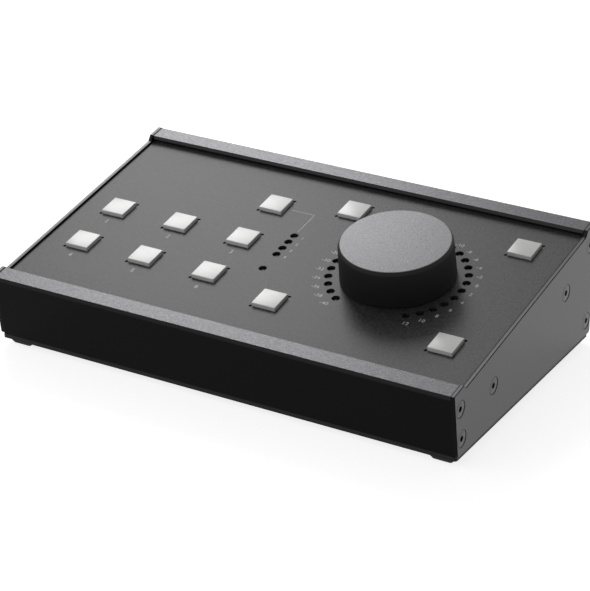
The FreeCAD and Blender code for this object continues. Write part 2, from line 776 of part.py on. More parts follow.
# Buttons. Each is a square cap with a thin flange under the panel that keeps it in its hole,
# the switch's plunger that the cap is pressed onto, and the switch on the main board that
# the plunger slides in.
for name, (u, v) in BUTTONS.items():
    cap = new_body(name + "_button")
    put_on_panel(cap, u, v)
    outline = sketch_on(cap, offset="-cap_bottom")
    rectangle(outline, "0", "0", "cap_size", "cap_size")
    pad(cap, outline, "cap_height")
    uprights = edges_where(cap, lambda box: box.ZLength > NEAR)
    soften(cap, "Fillet", uprights, "cap_corner_radius")
    top = value("cap_proud")
    soften(cap, "Fillet", edges_where(cap, lambda box: box.ZMin > top - NEAR), "cap_edge_radius")
    outline = sketch_on(cap, offset="-cap_bottom")
    rectangle(outline, "0", "0", "cap_size + 2 * cap_flange", "cap_size + 2 * cap_flange")
    pad(cap, outline, "cap_flange_height")
    hollow = sketch_on(cap, offset="-cap_bottom")
    rectangle(hollow, "0", "0", "cap_hollow", "cap_hollow")
    rectangle(hollow, "0", "0", "cap_boss", "cap_boss")
    pocket(cap, hollow, "cap_height - cap_roof", up=True)
    socket = sketch_on(cap, offset="-cap_bottom")
    rectangle(socket, "0", "0", "plunger_tip", "plunger_tip")
    pocket(cap, socket, "plunger_tip_height", up=True)
    nodes.append(cap)

    plunger = new_body(name + "_plunger")
    put_on_panel(plunger, u, v)
    revolve(plunger, [
        ("0", "-plunger_bottom"),
        ("plunger_diameter / 2", "-plunger_bottom"),
        ("plunger_diameter / 2", "-cap_bottom"),
        ("0", "-cap_bottom"),
    ])
    tip = sketch_on(plunger, offset="-cap_bottom")
    rectangle(tip, "0", "0", "plunger_tip", "plunger_tip")
    pad(plunger, tip, "plunger_tip_height")
    nodes.append(plunger)

    switch = new_body(name + "_switch")
    put_on_panel(switch, u, v)
    outline = sketch_on(switch, offset="-board_top")
    rectangle(outline, "0", "0", "switch_size", "switch_size")
    pad(switch, outline, "switch_height")
    uprights = edges_where(switch, lambda box: box.ZLength > NEAR)
    soften(switch, "Chamfer", uprights, "switch_edge_chamfer")
    well = sketch_on(switch, offset="-switch_top")
    circle(well, "0", "0", "well_diameter")
    pocket(switch, well, "well_depth")
    nodes.append(switch)

# Lamps: round light-emitting diodes on the main board, their domes just inside the panel's
# holes. A ring of them shows the level, and five more show the layer and the status.
lamp = new_body("lamp")
revolve(lamp, [
    ("0", "0"),
    ("lamp_flange_diameter / 2", "0"),
    ("lamp_flange_diameter / 2", "lamp_flange_height"),
    ("lamp_diameter / 2", "lamp_flange_height"),
    ("lamp_diameter / 2", "lamp_height"),
    ("0", "lamp_height"),
])
lamp_top = value("lamp_height")
soften(lamp, "Fillet", edges_where(lamp, lambda box: box.ZMin > lamp_top - NEAR), "lamp_dome_radius")
nodes.append(group("ring_lamps", lamp, [
    lambda link, u=u, v=v: put_on_panel(link, u, v, "-board_top") for u, v in ring_spots]))
nodes.append(group("status_lamps", lamp, [
    lambda link, u=u, v=v: put_on_panel(link, u, v, "-board_top") for u, v in status_spots]))

# Rotary encoder: its housing stands on the main board, its threaded bushing comes up through
# the panel, and a washer and a nut clamp the two. The shaft turns freely in the bushing.
encoder_housing = new_body("encoder_housing")
put_on_panel(encoder_housing, "knob_u", "knob_v")
outline = sketch_on(encoder_housing, offset="-board_top")
rectangle(outline, "0", "0", "encoder_size", "encoder_size")
pad(encoder_housing, outline, "encoder_height")
well = sketch_on(encoder_housing, offset="-encoder_top")
circle(well, "0", "0", "encoder_well")
pocket(encoder_housing, well, "encoder_well_depth")
nodes.append(encoder_housing)

encoder_bushing = new_body("encoder_bushing")
put_on_panel(encoder_bushing, "knob_u", "knob_v")
outline = sketch_on(encoder_bushing, offset="-encoder_top")
rectangle(outline, "0", "0", "bushing_flange_size", "bushing_flange_size")
pad(encoder_bushing, outline, "bushing_flange_thickness")
outline = sketch_on(encoder_bushing, offset="-encoder_top")
circle(outline, "0", "0", "bushing_diameter")
pad(encoder_bushing, outline, "bushing_top + encoder_top")
bore = sketch_on(encoder_bushing, offset="bushing_top")
circle(bore, "0", "0", "shaft_bore")
pocket(encoder_bushing, bore, "bushing_top + encoder_top")
nodes.append(encoder_bushing)

encoder_washer = new_body("encoder_washer")
put_on_panel(encoder_washer, "knob_u", "knob_v")
outline = sketch_on(encoder_washer)
circle(outline, "0", "0", "washer_diameter")
circle(outline, "0", "0", "bushing_diameter + 2 * nut_clearance")
pad(encoder_washer, outline, "washer_thickness")
nodes.append(encoder_washer)

encoder_nut = new_body("encoder_nut")
put_on_panel(encoder_nut, "knob_u", "knob_v")
outline = sketch_on(encoder_nut, offset="washer_thickness")
hexagon(outline, "nut_across_flats")
circle(outline, "0", "0", "bushing_diameter + 2 * nut_clearance")
pad(encoder_nut, outline, "nut_height")
nodes.append(encoder_nut)

encoder_shaft = new_body("encoder_shaft")
put_on_panel(encoder_shaft, "knob_u", "knob_v")
collar_top = "-encoder_top - shaft_clearance"
revolve(encoder_shaft, [
    ("0", "-shaft_bottom"),
    ("shaft_collar_diameter / 2", "-shaft_bottom"),
    ("shaft_collar_diameter / 2", collar_top),
    ("shaft_diameter / 2", collar_top),
    ("shaft_diameter / 2", "shaft_top"),
    ("0", "shaft_top"),
])
flat_v = "shaft_flat - shaft_diameter / 2"
flat = sketch_on(encoder_shaft, offset="core_bottom")
rectangle(flat, "0", flat_v + " + shaft_diameter / 2", "shaft_diameter", "shaft_diameter")
pocket(encoder_shaft, flat, "shaft_top - core_bottom", up=True)
nodes.append(encoder_shaft)

# Knob: a turned metal shell over a moulded core, whose boss is pushed onto the shaft's flat.
knob_core = new_body("knob_core")
put_on_panel(knob_core, "knob_u", "knob_v")
revolve(knob_core, [
    ("0", "core_bottom"),
    ("core_boss_radius", "core_bottom"),
    ("core_boss_radius", "knob_roof_w - core_web"),
    ("core_radius - core_sleeve", "knob_roof_w - core_web"),
    ("core_radius - core_sleeve", "core_bottom"),
    ("core_radius", "core_bottom"),
    ("core_radius", "knob_roof_w"),
    ("0", "knob_roof_w"),
])
bore = sketch_on(knob_core, offset="core_bottom")
circle(bore, "0", "0", "shaft_diameter")
pocket(knob_core, bore, "shaft_top - core_bottom", up=True)
key = sketch_on(knob_core, offset="core_bottom")
rectangle(key, "0", flat_v + " + shaft_diameter / 4", "shaft_diameter", "shaft_diameter / 2")
pad(knob_core, key, "shaft_top - core_bottom")
nodes.append(knob_core)

knob_shell = new_body("knob_shell")
put_on_panel(knob_shell, "knob_u", "knob_v")
revolve(knob_shell, [
    ("knob_inner_radius", "knob_gap"),
    ("knob_base_radius", "knob_gap"),
    ("knob_side_top_radius", "knob_bevel_w"),
    ("knob_top_radius", "knob_top"),
    ("0", "knob_top"),
    ("0", "knob_roof_w"),
    ("knob_inner_radius", "knob_roof_w"),
])
shell_bottom, shell_reach = value("knob_gap"), value("knob_base_radius")
lower_rim = edges_where(knob_shell, lambda box: box.ZMax < shell_bottom + NEAR
                        and box.XMax > shell_reach - NEAR)
soften(knob_shell, "Fillet", lower_rim, "knob_foot_radius")
nodes.append(knob_shell)

# Standoffs: hexagonal pillars pressed into the bottom plate, under the jack board.
standoff = new_body("standoff")
outline = sketch_on(standoff)
hexagon(outline, "standoff_across_flats")
pad(standoff, outline, "standoff_height")
stub = sketch_on(standoff)
circle(stub, "0", "0", "standoff_stub")
pad(standoff, stub, "bottom_thickness", down=True)
bore = sketch_on(standoff, offset="standoff_height")
circle(bore, "0", "0", "board_screw_diameter + thread_clearance")
pocket(standoff, bore, "board_screw_length")
nodes.append(group("board_standoffs", standoff, [
    lambda link, x=x, y=y: put(link, x, y, "floor_z") for x, y in standoff_spots]))

# Jack board: a small level circuit board that carries the two network jacks.
jack_board = new_body("jack_board")
outline = sketch_on(jack_board, offset="jack_board_z")
rectangle(outline, "jack_x", "jack_board_y", "jack_board_length", "jack_board_depth")
pad(jack_board, outline, "board_thickness")
holes = sketch_on(jack_board, offset="jack_base_z")
for x, y in standoff_spots:
    circle(holes, x, y, "board_screw_diameter + thread_clearance")
pocket(jack_board, holes, "board_thickness")
nodes.append(jack_board)

# Board screws: M3 screws with a round head, four in each board.
board_screw = new_body("board_screw")
revolve(board_screw, [
    ("0", "-board_screw_length"),
    ("board_screw_diameter / 2", "-board_screw_length"),
    ("board_screw_diameter / 2", "0"),
    ("board_screw_head / 2", "0"),
    ("board_screw_head / 2", "board_screw_head_height"),
    ("0", "board_screw_head_height"),
])
head_top = value("board_screw_head_height")
soften(board_screw, "Fillet", edges_where(board_screw, lambda box: box.ZMin > head_top - NEAR),
       "board_screw_head_radius")
socket = sketch_on(board_screw, offset="board_screw_head_height")
hexagon(socket, "board_screw_recess")
pocket(board_screw, socket, "board_screw_recess_depth")
nodes.append(group("board_screws", board_screw, [
    lambda link, side=side, v=v: put_on_panel(link, "%d * board_screw_u" % side, v, "-board_top")
    for side in (-1, 1) for v in board_screw_spots
] + [
    lambda link, x=x, y=y: put(link, x, y, "jack_base_z") for x, y in standoff_spots]))

# Network jacks: two eight-way sockets, flush with the rear wall, open to the rear.
for name, x in zip(("network_jack_in", "network_jack_out"), jack_spots):
    jack = new_body(name)
    outline = sketch_on(jack, offset="jack_base_z")
    rectangle(outline, x, "rear_y - jack_depth / 2", "jack_width", "jack_depth")
    pad(jack, outline, "jack_height")
    mouth = sketch_on(jack, "XZ_Plane", "-rear_y")
    mouth_z = "(jack_base_z + jack_mouth_rise)"
    left, right = x + " - jack_mouth_width / 2", x + " + jack_mouth_width / 2"
    latch_left, latch_right = x + " - jack_latch_width / 2", x + " + jack_latch_width / 2"
    latch_z = mouth_z + " - jack_latch_height"
    roof_z = mouth_z + " + jack_mouth_height"
    polygon(mouth, [(left, mouth_z), (latch_left, mouth_z), (latch_left, latch_z),
                    (latch_right, latch_z), (latch_right, mouth_z), (right, mouth_z),
                    (right, roof_z), (left, roof_z)])
    pocket(jack, mouth, "jack_mouth_depth", up=True)
    nodes.append(jack)

# Ribbon cable: flat cable between the jack board and the main board, with the plug at each
# end that is pressed onto it. It bends once, where the vertical meets the panel's normal.
ribbon_cable = new_body("ribbon_cable")
plug = sketch_on(ribbon_cable, offset="jack_base_z")
rectangle(plug, "cable_x", "cable_y", "plug_length", "plug_depth")
pad(ribbon_cable, plug, "plug_height")
band = sketch_on(ribbon_cable, "YZ_Plane", "cable_x")
polygon(band, [
    ("cable_y - cable_thickness / 2", "jack_base_z + plug_height"),
    ("cable_y + cable_thickness / 2", "jack_base_z + plug_height"),
    ("cable_y + cable_thickness / 2", "cable_bend_height"),
    on_slope("cable_bend_v + cable_thickness / 2", "cable_plug_w"),
    on_slope("cable_bend_v - cable_thickness / 2", "cable_plug_w"),
    ("cable_y - cable_thickness / 2", "cable_bend_height"),
])
wide_pad(ribbon_cable, band, "cable_width")
plug = sketch_on(ribbon_cable, "YZ_Plane", "cable_x")
polygon(plug, [
    on_slope("cable_bend_v - plug_depth / 2", "cable_plug_w"),
    on_slope("cable_bend_v + plug_depth / 2", "cable_plug_w"),
    on_slope("cable_bend_v + plug_depth / 2", "-board_underside"),
    on_slope("cable_bend_v - plug_depth / 2", "-board_underside"),
])
wide_pad(ribbon_cable, plug, "plug_length")
nodes.append(ribbon_cable)

# Write one file for each piece, once every feature and every shape is sound.
doc.recompute()
for thing in doc.Objects:
    if "Invalid" in thing.State or "Error" in thing.State:
        raise ValueError("%s failed: %s" % (thing.Name, thing.State))
os.makedirs("parts", exist_ok=True)
for node in nodes:
    node.Label = node.Name
    if node.Shape.isNull() or not node.Shape.isValid():
        raise ValueError("%s has no sound shape" % node.Name)
    node.Shape.exportStep("parts/%s.step" % node.Label)
print("%d pieces written" % len(nodes))
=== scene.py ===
import json
from math import atan2, cos, pi, radians, sin, sqrt

import bmesh
import bpy
from mathutils import Matrix, Vector


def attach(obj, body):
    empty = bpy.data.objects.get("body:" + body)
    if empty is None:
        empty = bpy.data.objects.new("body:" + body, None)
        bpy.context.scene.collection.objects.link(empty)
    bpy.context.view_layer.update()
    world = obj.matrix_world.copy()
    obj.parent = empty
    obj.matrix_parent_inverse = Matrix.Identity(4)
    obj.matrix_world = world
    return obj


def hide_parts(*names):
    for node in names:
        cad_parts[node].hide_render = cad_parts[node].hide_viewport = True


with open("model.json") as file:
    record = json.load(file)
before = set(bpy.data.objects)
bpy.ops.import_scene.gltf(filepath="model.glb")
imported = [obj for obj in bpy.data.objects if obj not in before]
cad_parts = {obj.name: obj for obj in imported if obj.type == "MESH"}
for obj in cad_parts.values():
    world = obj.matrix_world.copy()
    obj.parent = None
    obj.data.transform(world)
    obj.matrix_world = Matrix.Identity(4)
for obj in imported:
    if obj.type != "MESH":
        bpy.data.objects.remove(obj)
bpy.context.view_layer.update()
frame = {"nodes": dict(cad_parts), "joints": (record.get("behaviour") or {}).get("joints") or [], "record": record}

mm = 0.001
scene = bpy.context.scene
bpy.ops.object.select_all(action="DESELECT")

# Camera. A long lens looks down on the controller from the front right, a metre away, so that
# the edges of the case stay almost parallel.
bpy.ops.object.camera_add()
camera = bpy.context.object
camera.data.sensor_width = 36.0
camera.data.lens = 139.69
camera.data.shift_x = -0.00706
camera.matrix_world = (Matrix.Translation((0.46632, -0.79827, 0.46897))
                       @ Matrix.Rotation(radians(30.108), 4, "Z")
                       @ Matrix.Rotation(radians(90 - 25.678), 4, "X")
                       @ Matrix.Rotation(radians(-0.104), 4, "Z"))
scene.camera = camera
scene.view_settings.view_transform = "Standard"


# Studio. A white room: the surroundings are white where they are seen or mirrored, and light
# the controller more softly than that, most from low on the left and least from the right.
def add(tree, kind, inputs=None, **settings):
    """Adds a node, or takes the one of that name, and gives it its settings and links."""
    node = tree.nodes.get(kind) or tree.nodes.new(kind)
    for name, setting in settings.items():
        setattr(node, name, setting)
    for name, given in (inputs or {}).items():
        if isinstance(given, bpy.types.NodeSocket):
            tree.links.new(given, node.inputs[name])
        else:
            node.inputs[name].default_value = given
    return node


def seen(tree, unseen_level, seen_level):
    """A strength that has one level for what is seen or mirrored and another for light."""
    path = add(tree, "ShaderNodeLightPath")
    direct = add(tree, "ShaderNodeMath", {0: path.outputs["Is Camera Ray"],
                                          1: path.outputs["Is Glossy Ray"]}, operation="MAXIMUM")
    either = add(tree, "ShaderNodeMath", {0: direct.outputs[0],
                                          1: path.outputs["Is Transmission Ray"]}, operation="MAXIMUM")
    level = add(tree, "ShaderNodeMapRange", {"Value": either.outputs[0], "To Min": unseen_level,
                                             "To Max": seen_level})
    return level.outputs["Result"]


room = bpy.data.worlds.new("white_room")
room.use_nodes = True
scene.world = room
tree = room.node_tree
toward = add(tree, "ShaderNodeVectorMath", {0: add(tree, "ShaderNodeTexCoord").outputs["Generated"],
                                            1: (0.6, 0.0, 0.8)}, operation="DOT_PRODUCT")
wash = add(tree, "ShaderNodeMapRange", {"Value": toward.outputs["Value"], "From Min": -0.6,
                                        "To Min": 1.0, "To Max": 0.06})
add(tree, "Background", {"Color": (1, 1, 1, 1), "Strength": seen(tree, wash.outputs["Result"], 1.0)})

# Softbox. A square diffused lamp behind the controller, to its left. It is the only lamp, and
# the sloping top mirrors it.
bpy.ops.object.light_add(type="AREA", location=(-0.81, 0.89, 1.00))
softbox = bpy.context.object
aim = Vector((-0.06, 0.01, 0.045)) - softbox.location
softbox.rotation_euler = aim.to_track_quat("-Z", "Y").to_euler()
softbox.data.shape = "SQUARE"
softbox.data.size = 0.5
softbox.data.energy = 6.5


# Floor. A pale, matt table top. It glows for what sees or mirrors it, so it stays white
# to the eye and still keeps a soft shadow of the case.
def shade(code):
    """A colour for a shader, from its sRGB hex code."""
    parts = [int(code[start:start + 2], 16) / 255 for start in (1, 3, 5)]
    return [part / 12.92 if part <= 0.04045 else ((part + 0.055) / 1.055) ** 2.4 for part in parts] + [1]


def new_finish(name):
    """A material with a shader, and its tree of nodes."""
    finish = bpy.data.materials.new(name)
    finish.use_nodes = True
    return finish, finish.node_tree


bpy.ops.mesh.primitive_plane_add(size=8)
floor = bpy.context.object
floor.name = "floor"
table_top, tree = new_finish("pale_table_top")
add(tree, "Principled BSDF", {
    "Base Color": shade("#DCDCDC"), "Roughness": 0.8, "Specular IOR Level": 0.0,
    "Emission Color": (1, 1, 1, 1), "Emission Strength": seen(tree, 0.0, 0.8)})
floor.data.materials.append(table_top)


# Rails. Two extruded aluminium profiles, blasted and anodised black all over. The tops of the raised
# strips are drawn a lighter, metallic grey, a painted sheen, and the faces' upper band below them is
# painted lighter: a painted highlight on the front's top edge, painted light on the rear strip's
# shaded wall. The blast's grain is drawn coarser than it is, so that it shows.
def coat(finish, *nodes):
    """Gives CAD nodes a finish."""
    for node in nodes:
        for slot in frame["nodes"][node].material_slots:
            slot.material = finish


knob_joint = next(joint for joint in frame["joints"] if joint["name"] == "knob_turn")
slope = atan2(-knob_joint["axis"][1], knob_joint["axis"][2])
panel = Matrix.Translation(knob_joint["pos_m"]) @ Matrix.Rotation(slope, 4, "X")

blasted_rail, tree = new_finish("blasted_black_anodised_aluminium")
place = add(tree, "ShaderNodeTexCoord").outputs["Object"]
offset = add(tree, "ShaderNodeVectorMath", {0: place, 1: knob_joint["pos_m"]}, operation="SUBTRACT")
height = add(tree, "ShaderNodeVectorMath", {0: offset.outputs[0], 1: knob_joint["axis"]},
             operation="DOT_PRODUCT")
# The strips' tops get a lighter metallic grey: a painted sheen on the same black finish.
strip = add(tree, "ShaderNodeMapRange", {"Value": height.outputs["Value"], "From Min": 2.72 * mm,
                                         "From Max": 2.86 * mm})
# The band below the strips is painted lighter: a painted highlight along the front's top edge.
edge = add(tree, "ShaderNodeMapRange", {"Value": height.outputs["Value"], "From Min": 0.6 * mm,
                                        "From Max": 1.3 * mm})
grain = add(tree, "ShaderNodeTexNoise", {"Vector": place, "Scale": 1 / (0.7 * mm), "Detail": 3.0,
                                         "Roughness": 0.65})
sheen_speckle = add(tree, "ShaderNodeValToRGB", {"Fac": grain.outputs["Fac"]})
sheen_speckle.color_ramp.elements[0].position, sheen_speckle.color_ramp.elements[0].color = 0.3, shade("#38383A")
sheen_speckle.color_ramp.elements[1].position, sheen_speckle.color_ramp.elements[1].color = 0.7, shade("#5E5E60")
black = add(tree, "ShaderNodeValToRGB", {"Fac": grain.outputs["Fac"]})
black.color_ramp.elements[0].position, black.color_ramp.elements[0].color = 0.3, shade("#0B0B0C")
black.color_ramp.elements[1].position, black.color_ramp.elements[1].color = 0.7, shade("#101011")
depth = add(tree, "ShaderNodeSeparateXYZ", {"Vector": place})
# The rear strip's wall is painted paler than the front: painted light where it stands in shade.
rear = add(tree, "ShaderNodeMapRange", {"Value": depth.outputs["Y"], "From Min": -1 * mm,
                                        "From Max": 1 * mm})
pale = add(tree, "ShaderNodeMix", {0: rear.outputs[0], 6: shade("#333334"), 7: shade("#5E5E60")},
           data_type="RGBA")
painted_light_band = add(tree, "ShaderNodeMix", {0: edge.outputs[0], 6: black.outputs[0], 7: pale.outputs[2]},
            data_type="RGBA")
tone = add(tree, "ShaderNodeMix", {0: strip.outputs[0], 6: painted_light_band.outputs[2], 7: sheen_speckle.outputs[0]},
           data_type="RGBA")
pits = add(tree, "ShaderNodeBump", {"Strength": 0.5, "Distance": 0.03 * mm,
                                    "Height": grain.outputs["Fac"]})
add(tree, "Principled BSDF", {"Base Color": tone.outputs[2], "Metallic": strip.outputs[0],
                              "Roughness": 0.38, "Specular IOR Level": 0.045, "Normal": pits.outputs[0]})
coat(blasted_rail, "front_rail", "rear_rail")

# Side panels. Steel sheet with a smooth satin black coat, baked on, which mirrors the white
# table at a low angle. The cut edges are drawn as dark metal that mirrors little; where they face
# up, a painted highlight runs along their middle, with painted shade along both arrises.
satin_coat, tree = new_finish("satin_black_baked_coat")
surface = add(tree, "ShaderNodeTexCoord")
place = surface.outputs["Object"]
side_x = [corner.co.x for corner in frame["nodes"]["right_side_panel"].data.vertices]
inner_face, outer_face = min(side_x), max(side_x)
spread = add(tree, "ShaderNodeSeparateXYZ", {"Vector": place})
across = add(tree, "ShaderNodeMath", {0: spread.outputs["X"]}, operation="ABSOLUTE")
sheared = add(tree, "ShaderNodeMapRange", {"Value": across.outputs[0],
                                           "From Min": outer_face - 0.03 * mm,
                                           "From Max": outer_face - 0.01 * mm,
                                           "To Min": 1.0, "To Max": 0.0})
inner = add(tree, "ShaderNodeMapRange", {"Value": across.outputs[0],
                                         "From Min": inner_face + 0.3 * mm,
                                         "From Max": inner_face + 0.6 * mm})
# Up-facing cut edges are painted lighter along their middle, a painted highlight, and dark near both arrises,
# painted shade.
middle = add(tree, "ShaderNodeMapRange", {"Value": across.outputs[0],
                                          "From Min": outer_face - 0.4 * mm,
                                          "From Max": outer_face - 0.25 * mm,
                                          "To Min": inner.outputs[0], "To Max": 0.0})
turned = add(tree, "ShaderNodeSeparateXYZ", {"Vector": surface.outputs["Normal"]})
upward = add(tree, "ShaderNodeMapRange", {"Value": turned.outputs["Z"], "From Min": 0.5, "From Max": 0.9,
                                          "To Max": middle.outputs[0]})
edge_shade_and_highlight = add(tree, "ShaderNodeMix", {0: upward.outputs[0], 6: shade("#101011"), 7: shade("#4C4C4E")},
                data_type="RGBA")
waves = add(tree, "ShaderNodeTexNoise", {"Vector": place, "Scale": 1 / (1.4 * mm), "Detail": 2.0})
tone = add(tree, "ShaderNodeValToRGB", {"Fac": waves.outputs["Fac"]})
tone.color_ramp.elements[0].position, tone.color_ramp.elements[0].color = 0.3, shade("#1E1E20")
tone.color_ramp.elements[1].position, tone.color_ramp.elements[1].color = 0.7, shade("#242426")
rough = add(tree, "ShaderNodeMapRange", {"Value": waves.outputs["Fac"], "To Min": 0.36, "To Max": 0.44})
skin = add(tree, "ShaderNodeBump", {"Strength": 0.12, "Distance": 0.02 * mm,
                                    "Height": waves.outputs["Fac"]})
sides = add(tree, "ShaderNodeMix", {0: sheared.outputs[0], 6: tone.outputs[0], 7: edge_shade_and_highlight.outputs[2]},
            data_type="RGBA")
add(tree, "Principled BSDF", {"Base Color": sides.outputs[2], "Metallic": sheared.outputs[0],
                              "Roughness": rough.outputs[0], "Specular IOR Level": 0.7,
                              "Normal": skin.outputs[0]})
coat(satin_coat, "left_side_panel", "right_side_panel")

# Bottom plate. Steel sheet with a matt black coat, which shows little more than its own colour.
# Four screws hold it up against the rails.
matt_coat, tree = new_finish("matt_black_baked_coat")
place = add(tree, "ShaderNodeTexCoord").outputs["Object"]
cloud = add(tree, "ShaderNodeTexNoise", {"Vector": place, "Scale": 1 / (0.9 * mm), "Detail": 2.0})
tone = add(tree, "ShaderNodeValToRGB", {"Fac": cloud.outputs["Fac"]})
tone.color_ramp.elements[0].color, tone.color_ramp.elements[1].color = shade("#151516"), shade("#1D1D1E")
skin = add(tree, "ShaderNodeBump", {"Strength": 0.2, "Distance": 0.02 * mm,
                                    "Height": cloud.outputs["Fac"]})
add(tree, "Principled BSDF", {"Base Color": tone.outputs[0], "Roughness": 0.5,
                              "Specular IOR Level": 0.2, "Normal": skin.outputs[0]})
coat(matt_coat, "bottom_plate")

# Control panel. Aluminium sheet, blasted and dyed black, so it is dark by itself and grey
# where it mirrors the room. The grain is drawn coarser than it is, so that it shows.
panel_finish, tree = new_finish("blasted_black_anodised_sheet")
place = add(tree, "ShaderNodeTexCoord").outputs["Object"]
grain = add(tree, "ShaderNodeTexNoise", {"Vector": place, "Scale": 1 / (1.1 * mm), "Detail": 3.0,
                                         "Roughness": 0.7})
tone = add(tree, "ShaderNodeValToRGB", {"Fac": grain.outputs["Fac"]})
tone.color_ramp.elements[0].position, tone.color_ramp.elements[0].color = 0.3, shade("#050506")
tone.color_ramp.elements[1].position, tone.color_ramp.elements[1].color = 0.7, shade("#484849")
rough = add(tree, "ShaderNodeMapRange", {"Value": grain.outputs["Fac"], "To Min": 0.38, "To Max": 0.48})
pits = add(tree, "ShaderNodeBump", {"Strength": 0.6, "Distance": 0.03 * mm,
                                    "Height": grain.outputs["Fac"]})
add(tree, "Principled BSDF", {"Base Color": tone.outputs[0], "Roughness": rough.outputs[0],
                              "Specular IOR Level": 0.29, "Normal": pits.outputs[0]})
coat(panel_finish, "top_panel")

# Inside. Black laminate boards, a grey ribbon cable, black moulded housings, bright plated
# screws and pillars, and square bars of raw aluminium under the main board.
# Woven laminate under black solder resist is near black, with the weave faintly seen, here coarser.
laminate, tree = new_finish("black_solder_resist_laminate")
place = add(tree, "ShaderNodeTexCoord").outputs["Object"]
weave = add(tree, "ShaderNodeTexWave", {"Vector": place, "Scale": 1 / (2.5 * mm), "Distortion": 0.6})
tone = add(tree, "ShaderNodeValToRGB", {"Fac": weave.outputs["Fac"]})
tone.color_ramp.elements[0].color, tone.color_ramp.elements[1].color = shade("#0B0D0C"), shade("#121513")
add(tree, "Principled BSDF", {"Base Color": tone.outputs[0], "Roughness": 0.35})
coat(laminate, "main_board", "jack_board")

# Moulded nylon is black and slightly cloudy, with a soft shine.
moulding, tree = new_finish("black_moulded_nylon")
place = add(tree, "ShaderNodeTexCoord").outputs["Object"]
cloud = add(tree, "ShaderNodeTexNoise", {"Vector": place, "Scale": 1 / (0.8 * mm), "Detail": 2.0})
tone = add(tree, "ShaderNodeValToRGB", {"Fac": cloud.outputs["Fac"]})
tone.color_ramp.elements[0].color, tone.color_ramp.elements[1].color = shade("#0C0C0D"), shade("#141415")
skin = add(tree, "ShaderNodeBump", {"Strength": 0.15, "Distance": 0.02 * mm,
                                    "Height": cloud.outputs["Fac"]})
add(tree, "Principled BSDF", {"Base Color": tone.outputs[0], "Roughness": 0.5,
                              "Normal": skin.outputs[0]})
buttons = [node[:-len("_button")] for node in frame["nodes"] if node.endswith("_button")]
coat(moulding, "knob_core", "encoder_housing", "network_jack_in", "network_jack_out",
     *[name + "_switch" for name in buttons])

# Moulded acetal is dark grey and a little slick.
acetal, tree = new_finish("moulded_grey_acetal")
place = add(tree, "ShaderNodeTexCoord").outputs["Object"]
cloud = add(tree, "ShaderNodeTexNoise", {"Vector": place, "Scale": 1 / (2 * mm), "Detail": 1.0})
tone = add(tree, "ShaderNodeValToRGB", {"Fac": cloud.outputs["Fac"]})
tone.color_ramp.elements[0].color, tone.color_ramp.elements[1].color = shade("#26262A"), shade("#303034")
add(tree, "Principled BSDF", {"Base Color": tone.outputs[0], "Roughness": 0.4})
coat(acetal, *[name + "_plunger" for name in buttons])

# Zinc plating is bright, with a clouded shine.
plated, tree = new_finish("zinc_plated_steel")
place = add(tree, "ShaderNodeTexCoord").outputs["Object"]
cloud = add(tree, "ShaderNodeTexNoise", {"Vector": place, "Scale": 1 / (1.5 * mm), "Detail": 2.0})
tone = add(tree, "ShaderNodeValToRGB", {"Fac": cloud.outputs["Fac"]})
tone.color_ramp.elements[0].color, tone.color_ramp.elements[1].color = shade("#A9ADB3"), shade("#C9CCD0")
rough = add(tree, "ShaderNodeMapRange", {"Value": cloud.outputs["Fac"], "To Min": 0.22, "To Max": 0.36})
add(tree, "Principled BSDF", {"Base Color": tone.outputs[0], "Metallic": 1.0,
                              "Roughness": rough.outputs[0]})
coat(plated, "board_screws", "encoder_nut", "encoder_washer", "encoder_shaft", "board_standoffs")

# Turned brass is a warm, uneven yellow.
brass, tree = new_finish("turned_brass")
place = add(tree, "ShaderNodeTexCoord").outputs["Object"]
turning = add(tree, "ShaderNodeTexNoise", {"Vector": place, "Scale": 1 / (0.9 * mm), "Detail": 2.0})
tone = add(tree, "ShaderNodeValToRGB", {"Fac": turning.outputs["Fac"]})
tone.color_ramp.elements[0].color, tone.color_ramp.elements[1].color = shade("#B08D4A"), shade("#CDAA62")
add(tree, "Principled BSDF", {"Base Color": tone.outputs[0], "Metallic": 1.0, "Roughness": 0.3})
coat(brass, "encoder_bushing")

# Sawn raw aluminium is pale, with fine lines along the bar.
bare, tree = new_finish("sawn_raw_aluminium")
place = add(tree, "ShaderNodeTexCoord").outputs["Object"]
drawn = add(tree, "ShaderNodeMapping", {"Vector": place, "Scale": (900, 20, 900)})
lines = add(tree, "ShaderNodeTexNoise", {"Vector": drawn.outputs[0], "Scale": 1.0, "Detail": 3.0})
tone = add(tree, "ShaderNodeValToRGB", {"Fac": lines.outputs["Fac"]})
tone.color_ramp.elements[0].color, tone.color_ramp.elements[1].color = shade("#A6A7A9"), shade("#C2C3C5")
add(tree, "Principled BSDF", {"Base Color": tone.outputs[0], "Metallic": 1.0, "Roughness": 0.38})
coat(bare, "left_board_rail", "right_board_rail")

# Ribbon cable is grey vinyl with a rib over each wire.
vinyl, tree = new_finish("grey_ribbed_vinyl")
place = add(tree, "ShaderNodeTexCoord").outputs["Object"]
ribs = add(tree, "ShaderNodeTexWave", {"Vector": place, "Scale": 1 / (1.27 * mm) / 6.28})
tone = add(tree, "ShaderNodeValToRGB", {"Fac": ribs.outputs["Fac"]})
tone.color_ramp.elements[0].color, tone.color_ramp.elements[1].color = shade("#6E6F72"), shade("#8B8C8F")
bulge = add(tree, "ShaderNodeBump", {"Strength": 0.5, "Distance": 0.2 * mm,
                                     "Height": ribs.outputs["Fac"]})
add(tree, "Principled BSDF", {"Base Color": tone.outputs[0], "Roughness": 0.5,
                              "Normal": bulge.outputs[0]})
coat(vinyl, "ribbon_cable")

